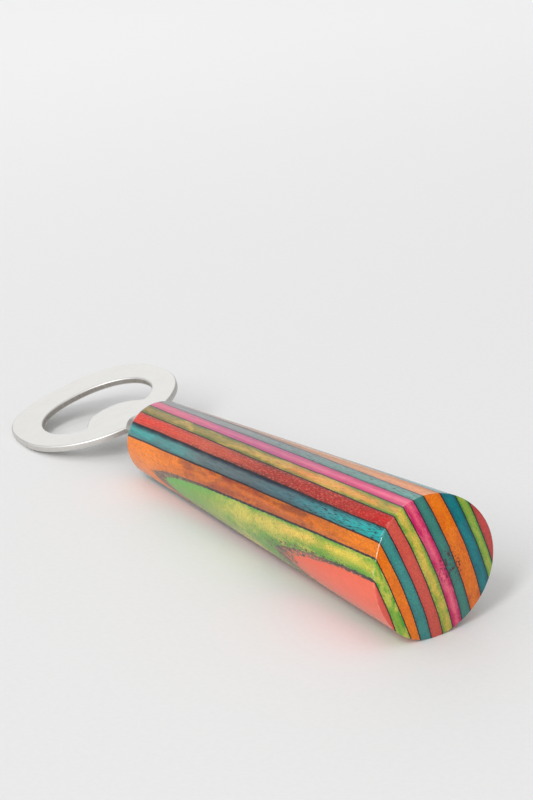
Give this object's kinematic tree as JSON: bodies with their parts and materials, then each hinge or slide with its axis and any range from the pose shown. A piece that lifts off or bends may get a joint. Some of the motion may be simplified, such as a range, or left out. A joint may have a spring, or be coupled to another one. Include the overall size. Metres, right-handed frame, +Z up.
{
  "type": "bottle opener",
  "caption": "Crown-cap opener: flat steel ring with an inner tooth on a round shank, in a tapered handle of glued, dyed wood plies.",
  "frame": {"origin": "on the surface that the opener lies on, below the middle of its bounding box", "axes": "+Z up; +X along the opener from the handle's butt towards the ring; +Y towards the side of the ring that touches the surface"},
  "size_m": [0.1544, 0.037, 0.0264],
  "materials": {
    "coral_veneer": "dyed veneer under gloss lacquer",
    "green_veneer": "dyed veneer under gloss lacquer",
    "orange_veneer": "dyed veneer under gloss lacquer",
    "teal_veneer": "dyed veneer under gloss lacquer",
    "red_veneer": "dyed veneer under gloss lacquer",
    "olive_veneer": "dyed veneer under gloss lacquer",
    "magenta_veneer": "dyed veneer under gloss lacquer",
    "petrol_veneer": "dyed veneer under gloss lacquer",
    "amber_veneer": "dyed veneer under gloss lacquer",
    "blue_veneer": "dyed veneer under gloss lacquer",
    "lime_veneer": "dyed veneer under gloss lacquer",
    "crimson_veneer": "dyed veneer under gloss lacquer",
    "ring_steel": "satin, with brighter tumbled edges",
    "shank_steel": "satin turned bar"
  },
  "bodies": {
    "root": {"ply_01_coral": "coral_veneer", "ply_02_green": "green_veneer", "ply_03_orange": "orange_veneer", "ply_04_teal": "teal_veneer", "ply_05_red": "red_veneer", "ply_06_olive": "olive_veneer", "ply_07_magenta": "magenta_veneer", "ply_08_petrol": "petrol_veneer", "ply_09_amber": "amber_veneer", "ply_10_blue": "blue_veneer", "ply_11_lime": "lime_veneer", "ply_12_crimson": "crimson_veneer", "opener_ring": "ring_steel", "steel_shank": "shank_steel"}
  },
  "joints": []
}
